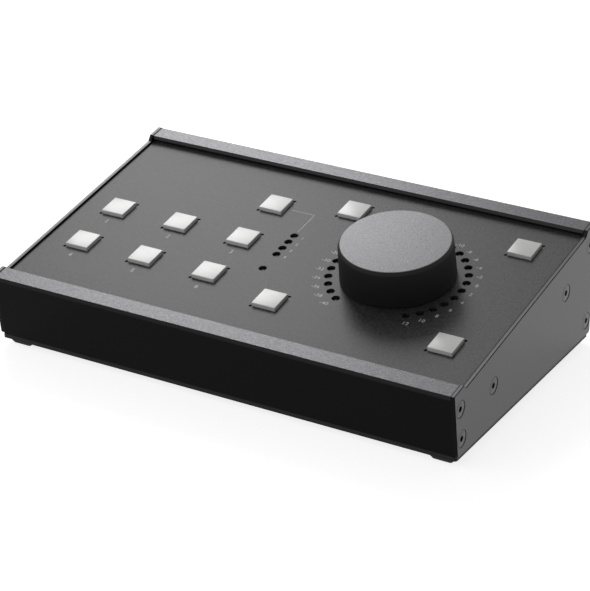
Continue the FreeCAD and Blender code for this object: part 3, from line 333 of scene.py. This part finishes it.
# Feet. Four square pads of black rubber that taper downwards, stuck under the corners of the case.
# Moulded rubber is matt and cloudy, with hardly a shine.
rubber, tree = new_finish("black_moulded_rubber")
place = add(tree, "ShaderNodeTexCoord").outputs["Object"]
cloud = add(tree, "ShaderNodeTexNoise", {"Vector": place, "Scale": 1 / (0.5 * mm), "Detail": 2.0})
tone = add(tree, "ShaderNodeValToRGB", {"Fac": cloud.outputs["Fac"]})
tone.color_ramp.elements[0].color, tone.color_ramp.elements[1].color = shade("#0E0E0E"), shade("#181818")
skin = add(tree, "ShaderNodeBump", {"Strength": 0.2, "Distance": 0.03 * mm,
                                    "Height": cloud.outputs["Fac"]})
add(tree, "Principled BSDF", {"Base Color": tone.outputs[0], "Roughness": 0.75,
                              "Specular IOR Level": 0.3, "Normal": skin.outputs[0]})
coat(rubber, "rubber_feet")


# Side screws. M4 countersunk screws of black-oxide steel, six in each side panel, with a hexagon
# socket. The head is turned, its rim lightly broken, and the socket has a small lead-in.
def solids(node, to_frame=Matrix()):
    """The box of each solid in a CAD node, its low and high corner in a frame, from left to right."""
    shape = bmesh.new()
    shape.from_mesh(frame["nodes"][node].data)
    bmesh.ops.remove_doubles(shape, verts=shape.verts, dist=0.001 * mm)
    waiting, boxes = set(shape.verts), []
    while waiting:
        reached, corners = [waiting.pop()], []
        while reached:
            corner = reached.pop()
            corners.append(to_frame @ corner.co)
            for edge in corner.link_edges:
                other = edge.other_vert(corner)
                if other in waiting:
                    waiting.remove(other)
                    reached.append(other)
        boxes.append([Vector(map(limit, zip(*corners))) for limit in (min, max)])
    shape.free()
    return sorted(boxes, key=lambda box: tuple(box[0]))


def select(kind, test):
    """In edit mode, selects the faces, edges or corners whose middle passes a test."""
    shape = bmesh.from_edit_mesh(bpy.context.edit_object.data)
    bpy.ops.mesh.select_mode(type=kind)
    bpy.ops.mesh.select_all(action="DESELECT")
    if kind == "VERT":
        for corner in shape.verts:
            corner.select_set(test(corner.co))
    else:
        for part in shape.edges if kind == "EDGE" else shape.faces:
            part.select_set(test(sum((corner.co for corner in part.verts), Vector()) / len(part.verts)))
    bmesh.update_edit_mesh(bpy.context.edit_object.data)


def cut(piece, tool):
    """Cuts a tool's shape out of a piece, and takes the tool away."""
    bpy.context.view_layer.objects.active = piece
    boolean = piece.modifiers.new("cut", "BOOLEAN")
    boolean.object, boolean.operation, boolean.solver = tool, "DIFFERENCE", "EXACT"
    bpy.ops.object.modifier_apply(modifier="cut")
    bpy.data.objects.remove(tool)


def repeat(pattern, name, places):
    """One piece of copies of a pattern, each with its place in its mesh."""
    bpy.ops.object.select_all(action="DESELECT")
    for place in places:
        piece = pattern.copy()
        piece.data = pattern.data.copy()
        piece.data.transform(place)
        scene.collection.objects.link(piece)
        piece.select_set(True)
        bpy.context.view_layer.objects.active = piece
    if len(places) > 1:
        bpy.ops.object.join()
    piece = bpy.context.object
    piece.name = piece.data.name = name
    return piece


def settle(piece, finish, slot, body, *nodes):
    """Gives a piece its finish, the body that it rides on and the nodes that it stands for."""
    piece.data.materials.clear()
    piece.data.materials.append(finish)
    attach(piece, body)
    if nodes:
        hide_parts(*nodes)


black_oxide, tree = new_finish("black_oxide_steel")
place = add(tree, "ShaderNodeTexCoord").outputs["Object"]
stain = add(tree, "ShaderNodeTexNoise", {"Vector": place, "Scale": 1 / (0.6 * mm), "Detail": 2.0})
tone = add(tree, "ShaderNodeValToRGB", {"Fac": stain.outputs["Fac"]})
tone.color_ramp.elements[0].color, tone.color_ramp.elements[1].color = shade("#18181A"), shade("#262628")
rough = add(tree, "ShaderNodeMapRange", {"Value": stain.outputs["Fac"], "To Min": 0.22, "To Max": 0.34})
add(tree, "Principled BSDF", {"Base Color": tone.outputs[0], "Roughness": rough.outputs[0]})
coat(black_oxide, "bottom_screws")

screw_boxes = solids("side_screws")
core, reach, head = 2.0 * mm, 8.0 * mm, (screw_boxes[0][1].z - screw_boxes[0][0].z) / 2
head_depth = head - core
rim_break, socket_flats, socket_depth = 0.3 * mm, 2.5 * mm, 1.4 * mm
bpy.ops.mesh.primitive_cylinder_add(vertices=64, radius=head, depth=reach, location=(0, 0, -reach / 2))
screw = bpy.context.object
bpy.ops.object.transform_apply(location=True)
bpy.ops.object.mode_set(mode="EDIT")
bpy.ops.mesh.bisect(plane_co=(0, 0, -head_depth), plane_no=(0, 0, 1))
select("VERT", lambda at: at.z < -head_depth + 0.01 * mm)
bpy.ops.transform.resize(value=(core / head, core / head, 1), center_override=(0, 0, 0))
select("EDGE", lambda at: at.z > -0.01 * mm)
bpy.ops.mesh.bevel(offset=rim_break, segments=3, affect="EDGES")
bpy.ops.object.mode_set(mode="OBJECT")
bpy.ops.mesh.primitive_cylinder_add(vertices=6, radius=socket_flats / sqrt(3), depth=2 * socket_depth)
cut(screw, bpy.context.object)
bpy.ops.mesh.primitive_cone_add(vertices=48, radius1=0.9 * mm, radius2=1.75 * mm, depth=0.8 * mm,
                                location=(0, 0, 0.05 * mm))
cut(screw, bpy.context.object)
screw_places = []
for low, high in screw_boxes:
    side = 1 if low.x > 0 else -1
    outer = high.x if side > 0 else low.x
    screw_places.append(Matrix.Translation((outer, (low.y + high.y) / 2, (low.z + high.z) / 2))
                        @ Matrix.Rotation(side * pi / 2, 4, "Y"))
side_screws = repeat(screw, "side_screws_turned", screw_places)
bpy.ops.object.shade_smooth_by_angle(angle=radians(35))
settle(side_screws, black_oxide, "black_steel", "case", "side_screws")
bpy.data.objects.remove(screw)


# Button caps. Moulded white plastic, with softly rounded edges. A thin flange with cut
# corners keeps each in its hole, and a boss under its roof holds the switch's plunger.
def panel_box(node):
    """A CAD node's low and high corner, measured along, up and out of the control panel."""
    corners = [panel.inverted() @ corner.co for corner in frame["nodes"][node].data.vertices]
    return [Vector(map(limit, zip(*corners))) for limit in (min, max)]


white_cap, tree = new_finish("white_moulded_plastic")
place = add(tree, "ShaderNodeTexCoord").outputs["Object"]
cloud = add(tree, "ShaderNodeTexNoise", {"Vector": place, "Scale": 1 / (3 * mm), "Detail": 1.0})
tone = add(tree, "ShaderNodeValToRGB", {"Fac": cloud.outputs["Fac"]})
tone.color_ramp.elements[0].color, tone.color_ramp.elements[1].color = shade("#DFDFDD"), shade("#E6E6E4")
skin = add(tree, "ShaderNodeTexNoise", {"Vector": place, "Scale": 1 / (0.4 * mm), "Detail": 1.0})
matt = add(tree, "ShaderNodeBump", {"Strength": 0.08, "Distance": 0.02 * mm,
                                    "Height": skin.outputs["Fac"]})
add(tree, "Principled BSDF", {"Base Color": tone.outputs[0], "Roughness": 0.28,
                              "Normal": matt.outputs[0]})

size, proud, flange_top, flange_bottom = 11.6 * mm, 1.6 * mm, -2.2 * mm, -3.0 * mm
overhang, cut_corner, hollow_height = 0.8 * mm, 1.5 * mm, 3.4 * mm
cap_rim, hollow_width, boss_wall, pocket_height = 2.0 * mm, 1.4 * mm, 1.2 * mm, 2.4 * mm
bpy.ops.mesh.primitive_cube_add(size=1, location=(0, 0, (proud + flange_bottom) / 2))
cap = bpy.context.object
cap.scale = (size, size, proud - flange_bottom)
bpy.ops.object.transform_apply()
bpy.ops.object.mode_set(mode="EDIT")
bpy.ops.mesh.bisect(plane_co=(0, 0, flange_top), plane_no=(0, 0, 1))
half = size / 2
select("FACE", lambda at: flange_bottom < at.z < flange_top
       and max(abs(at.x), abs(at.y)) > half - 0.01 * mm)
bpy.ops.mesh.extrude_region_move()
bpy.ops.transform.resize(value=((half + overhang) / half, (half + overhang) / half, 1),
                         center_override=(0, 0, 0))
select("EDGE", lambda at: min(abs(at.x), abs(at.y)) > half + overhang - 0.1 * mm)
bpy.ops.mesh.bevel(offset=cut_corner, segments=1, affect="EDGES")
select("EDGE", lambda at: half - 0.01 * mm < min(abs(at.x), abs(at.y)) < half + 0.01 * mm
       and at.z > flange_top)
bpy.ops.mesh.bevel(offset=0.3 * mm, segments=5, affect="EDGES")
select("EDGE", lambda at: at.z > proud - 0.01 * mm)
bpy.ops.mesh.bevel(offset=0.2 * mm, segments=4, affect="EDGES")
select("FACE", lambda at: at.z < flange_bottom + 0.01 * mm)
bpy.ops.mesh.inset(thickness=cap_rim)
bpy.ops.mesh.inset(thickness=hollow_width)
select("FACE", lambda at: at.z < flange_bottom + 0.01 * mm
       and 3.2 * mm < max(abs(at.x), abs(at.y)) < 4.4 * mm)
bpy.ops.mesh.extrude_region_move(TRANSFORM_OT_translate={"value": (0, 0, hollow_height)})
select("FACE", lambda at: at.z < flange_bottom + 0.01 * mm and at.xy.length < 0.1 * mm)
bpy.ops.mesh.inset(thickness=boss_wall)
bpy.ops.mesh.extrude_region_move(TRANSFORM_OT_translate={"value": (0, 0, pocket_height)})
bpy.ops.object.mode_set(mode="OBJECT")
for name in buttons:
    low, high = panel_box(name + "_button")
    middle = Matrix.Translation(((low.x + high.x) / 2, (low.y + high.y) / 2, high.z - proud))
    moulded = repeat(cap, name + "_cap", [panel @ middle])
    bpy.ops.object.shade_smooth_by_angle(angle=radians(40))
    settle(moulded, white_cap, "white_key", name + "_key", name + "_button")
bpy.data.objects.remove(cap)

# Lamps. Three-millimetre light-emitting diodes with smoked lenses, a flange at the board and a
# round dome just inside each hole: a ring of them about the knob, four by the layer button and
# one status lamp.
smoked, tree = new_finish("smoked_epoxy_lens")
place = add(tree, "ShaderNodeTexCoord").outputs["Object"]
cloud = add(tree, "ShaderNodeTexNoise", {"Vector": place, "Scale": 1 / (1 * mm), "Detail": 1.0})
tone = add(tree, "ShaderNodeValToRGB", {"Fac": cloud.outputs["Fac"]})
tone.color_ramp.elements[0].color, tone.color_ramp.elements[1].color = shade("#070707"), shade("#0C0C0C")
add(tree, "Principled BSDF", {"Base Color": tone.outputs[0], "Roughness": 0.3,
                              "Specular IOR Level": 0.3})
low, high = solids("status_lamps", panel.inverted())[0]
lens, flange, flange_height, top, board = 1.5 * mm, 1.9 * mm, 1 * mm, high.z, low.z
flange_rise = board + flange_height - (top - lens)
bpy.ops.mesh.primitive_uv_sphere_add(segments=32, ring_count=16, radius=lens,
                                     location=(0, 0, top - lens))
lamp = bpy.context.object
bpy.ops.object.transform_apply()
bpy.ops.object.mode_set(mode="EDIT")
select("FACE", lambda at: at.z < top - lens)
bpy.ops.mesh.delete(type="FACE")
select("EDGE", lambda at: at.z < top - lens + 0.01 * mm)
bpy.ops.mesh.extrude_region_move(TRANSFORM_OT_translate={"value": (0, 0, flange_rise)})
bpy.ops.mesh.extrude_region_move()
bpy.ops.transform.resize(value=(flange / lens, flange / lens, 1), center_override=(0, 0, 0))
bpy.ops.mesh.extrude_region_move(TRANSFORM_OT_translate={"value": (0, 0, -flange_height)})
bpy.ops.mesh.edge_face_add()
bpy.ops.mesh.select_all(action="SELECT")
bpy.ops.mesh.normals_make_consistent(inside=False)
bpy.ops.object.mode_set(mode="OBJECT")
for node in ("ring_lamps", "status_lamps"):
    spots = [panel @ Matrix.Translation(((low.x + high.x) / 2, (low.y + high.y) / 2, 0))
             for low, high in solids(node, panel.inverted())]
    lenses = repeat(lamp, node + "_lenses", spots)
    bpy.ops.object.shade_smooth_by_angle(angle=radians(40))
    settle(lenses, smoked, "smoked_lens", "case", node)
bpy.data.objects.remove(lamp)

# Knob. An aluminium shell turned from bar, 51 mm across, with a broad chamfer under its flat
# top, blasted and anodised black all over. Its flat top is drawn a lighter, metallic grey: a painted sheen.
turned_knob, tree = new_finish("blasted_black_anodised_knob_painted_sheen")
place = add(tree, "ShaderNodeTexCoord").outputs["Object"]
offset = add(tree, "ShaderNodeVectorMath", {0: place, 1: knob_joint["pos_m"]}, operation="SUBTRACT")
height = add(tree, "ShaderNodeVectorMath", {0: offset.outputs[0], 1: knob_joint["axis"]},
             operation="DOT_PRODUCT")
# The flat top gets a lighter metallic grey: a painted sheen on the same black finish.
face = add(tree, "ShaderNodeMapRange", {"Value": height.outputs["Value"], "From Min": 17.9 * mm,
                                        "From Max": 18.15 * mm})
grain = add(tree, "ShaderNodeTexNoise", {"Vector": place, "Scale": 1 / (0.5 * mm), "Detail": 3.0,
                                         "Roughness": 0.6})
light = add(tree, "ShaderNodeValToRGB", {"Fac": grain.outputs["Fac"]})
light.color_ramp.elements[0].position, light.color_ramp.elements[0].color = 0.3, shade("#646466")
light.color_ramp.elements[1].position, light.color_ramp.elements[1].color = 0.7, shade("#888889")
dark = add(tree, "ShaderNodeValToRGB", {"Fac": grain.outputs["Fac"]})
dark.color_ramp.elements[0].position, dark.color_ramp.elements[0].color = 0.3, shade("#161617")
dark.color_ramp.elements[1].position, dark.color_ramp.elements[1].color = 0.7, shade("#1F1F20")
tone = add(tree, "ShaderNodeMix", {0: face.outputs[0], 6: dark.outputs[0], 7: light.outputs[0]},
           data_type="RGBA")
pits = add(tree, "ShaderNodeBump", {"Strength": 0.2, "Distance": 0.02 * mm,
                                    "Height": grain.outputs["Fac"]})
add(tree, "Principled BSDF", {"Base Color": tone.outputs[2], "Metallic": face.outputs[0],
                              "Roughness": 0.55, "Specular IOR Level": 0.2, "Normal": pits.outputs[0]})

base, side_top, rim = 25.7 * mm, 25.2 * mm, 24.2 * mm
foot_w, side_w, top_w = 0.4 * mm, 16.6 * mm, 18.2 * mm
shell_wall, hollow_top = 2.0 * mm, 15.7 * mm
bpy.ops.mesh.primitive_cylinder_add(vertices=192, radius=base, depth=side_w - foot_w,
                                    location=(0, 0, (side_w + foot_w) / 2))
knob = bpy.context.object
bpy.ops.object.transform_apply()
bpy.ops.object.mode_set(mode="EDIT")
select("FACE", lambda at: at.z > side_w - 0.01 * mm)
bpy.ops.transform.resize(value=(side_top / base, side_top / base, 1), center_override=(0, 0, 0))
bpy.ops.mesh.extrude_region_move(TRANSFORM_OT_translate={"value": (0, 0, top_w - side_w)})
bpy.ops.transform.resize(value=(rim / side_top, rim / side_top, 1), center_override=(0, 0, 0))
select("EDGE", lambda at: at.z > top_w - 0.01 * mm)
bpy.ops.mesh.bevel(offset=0.22 * mm, segments=4, affect="EDGES")
select("EDGE", lambda at: abs(at.z - side_w) < 0.01 * mm)
bpy.ops.mesh.bevel(offset=0.35 * mm, segments=4, affect="EDGES")
select("EDGE", lambda at: at.z < foot_w + 0.01 * mm)
bpy.ops.mesh.bevel(offset=0.2 * mm, segments=3, affect="EDGES")
select("FACE", lambda at: at.z < foot_w + 0.01 * mm and at.xy.length < 1 * mm)
bpy.ops.mesh.inset(thickness=shell_wall)
bpy.ops.mesh.extrude_region_move(TRANSFORM_OT_translate={"value": (0, 0, hollow_top - foot_w)})
bpy.ops.object.mode_set(mode="OBJECT")
shell = repeat(knob, "knob_turned_shell", [panel])
bpy.ops.object.shade_smooth_by_angle(angle=radians(25))
settle(shell, turned_knob, "anodised_knob", "knob", "knob_shell")
bpy.data.objects.remove(knob)

# Print. Plain white numerals in a hard ink, screened onto the panel: the scale round the knob,
# the buttons' numbers, and the layer lamps' numbers with the line that leads to them.
ink, tree = new_finish("white_screen_ink")
place = add(tree, "ShaderNodeTexCoord").outputs["Object"]
wear = add(tree, "ShaderNodeTexNoise", {"Vector": place, "Scale": 1 / (0.5 * mm), "Detail": 2.0})
tone = add(tree, "ShaderNodeValToRGB", {"Fac": wear.outputs["Fac"]})
tone.color_ramp.elements[0].color, tone.color_ramp.elements[1].color = shade("#CFCFCD"), shade("#E8E8E6")
add(tree, "Principled BSDF", {"Base Color": tone.outputs[0], "Roughness": 0.55})

film = 0.02 * mm
printed = []


def numeral(text, u, v, tall):
    """One number, printed flat with its middle at a place on the panel."""
    bpy.ops.object.select_all(action="DESELECT")
    bpy.ops.object.text_add()
    mark = bpy.context.object
    mark.data.body, mark.data.size, mark.data.extrude = text, tall / 0.73, film / 2
    mark.data.align_x, mark.data.align_y, mark.data.resolution_u = "CENTER", "CENTER", 4
    mark.data.offset, mark.data.space_character = 0.03 * mm, 1.1
    bpy.ops.object.convert(target="MESH")
    mark = bpy.context.object
    mark.data.transform(panel @ Matrix.Translation((u, v, film / 2)))
    printed.append(mark)


scale_radius, lamp_step, lamp_count, first_mark, mark_step = 35.5 * mm, 11.25, 27, -40, 2
for count in range(lamp_count):
    turn = radians((count - lamp_count // 2) * lamp_step)
    numeral(str(mark_step * count + first_mark), scale_radius * sin(turn) + (0.2 + 0.6 * cos(turn)) * mm,
            scale_radius * cos(turn) - 1.2 * mm, 2.1 * mm)
row_numbers = {"speaker_1": "1", "speaker_2": "2", "speaker_3": "3",
               "source_a": "4", "source_b": "5", "source_c": "6"}
for name, number in row_numbers.items():
    low, high = panel_box(name + "_button")
    numeral(number, (low.x + high.x) / 2 + 0.3 * mm, (low.y + high.y) / 2 - 11.3 * mm, 2.7 * mm)
layer_lamps = sorted(((low + high) / 2 for low, high in solids("status_lamps", panel.inverted())),
                     key=lambda at: -at.y)[:4]
for number, at in enumerate(layer_lamps, start=1):
    numeral(str(number), at.x + 4.75 * mm, at.y - 0.8 * mm, 1.9 * mm)
line, arm, drop, slant = 0.28 * mm, 11.9 * mm, 14.8 * mm, 0.2 * mm
corner_u, corner_v = layer_lamps[0].x + slant, layer_lamps[0].y + 18.25 * mm
bpy.ops.mesh.primitive_plane_add(size=line, location=(corner_u, corner_v, film))
bracket = bpy.context.object
bpy.ops.object.transform_apply()
bpy.ops.object.mode_set(mode="EDIT")
select("EDGE", lambda at: at.x < corner_u - line / 4)
bpy.ops.mesh.extrude_region_move(TRANSFORM_OT_translate={"value": (-arm, 0, 0)})
select("EDGE", lambda at: at.y < corner_v - line / 4 and at.x > corner_u - line / 4)
bpy.ops.mesh.extrude_region_move(TRANSFORM_OT_translate={"value": (-slant, -drop, 0)})
bpy.ops.mesh.select_all(action="SELECT")
bpy.ops.mesh.extrude_region_move(TRANSFORM_OT_translate={"value": (0, 0, -film)})
bpy.ops.mesh.select_all(action="SELECT")
bpy.ops.mesh.normals_make_consistent(inside=False)
bpy.ops.object.mode_set(mode="OBJECT")
bracket.data.transform(panel)
printed.append(bracket)
bpy.ops.object.select_all(action="DESELECT")
for mark in printed:
    mark.select_set(True)
bpy.context.view_layer.objects.active = printed[0]
bpy.ops.object.join()
numerals = bpy.context.object
numerals.name = numerals.data.name = "printed_numerals"
settle(numerals, ink, "white_key", "case")

# Jack contacts. Eight sprung wires of gold-plated bronze in each network jack. They come out of
# the roof of the mouth and slope back and down into it.
gold, tree = new_finish("gold_plated_bronze")
place = add(tree, "ShaderNodeTexCoord").outputs["Object"]
cloud = add(tree, "ShaderNodeTexNoise", {"Vector": place, "Scale": 1 / (0.7 * mm), "Detail": 1.0})
tone = add(tree, "ShaderNodeValToRGB", {"Fac": cloud.outputs["Fac"]})
tone.color_ramp.elements[0].color, tone.color_ramp.elements[1].color = shade("#C9993E"), shade("#DDB45C")
add(tree, "Principled BSDF", {"Base Color": tone.outputs[0], "Metallic": 1.0, "Roughness": 0.25})
wire, contact_pitch = 0.4 * mm, 1.02 * mm
bpy.ops.mesh.primitive_cube_add(size=wire)
contact = bpy.context.object
bpy.ops.object.mode_set(mode="EDIT")
select("FACE", lambda at: at.y < -wire / 4)
for back, down in ((-0.8 * mm, -0.25 * mm), (-5.5 * mm, -2.6 * mm), (-1.5 * mm, 0.0)):
    bpy.ops.mesh.extrude_region_move(TRANSFORM_OT_translate={"value": (0, back, down)})
bpy.ops.mesh.select_all(action="SELECT")
bpy.ops.mesh.bevel(offset=0.05 * mm, segments=1, affect="EDGES")
bpy.ops.object.mode_set(mode="OBJECT")
openings = {entry["name"]: entry["box_m"] for entry in frame["record"]["physics"]["openings"]}
for jack in ("network_jack_in", "network_jack_out"):
    low, high = map(Vector, openings[jack + "_mouth"])
    spots = [Matrix.Translation(((low.x + high.x) / 2 + (way - 3.5) * contact_pitch,
                                 high.y - 2.2 * mm, high.z - 0.1 * mm)) for way in range(8)]
    contacts = repeat(contact, jack + "_contacts", spots)
    settle(contacts, gold, "brass", "case")
bpy.data.objects.remove(contact)
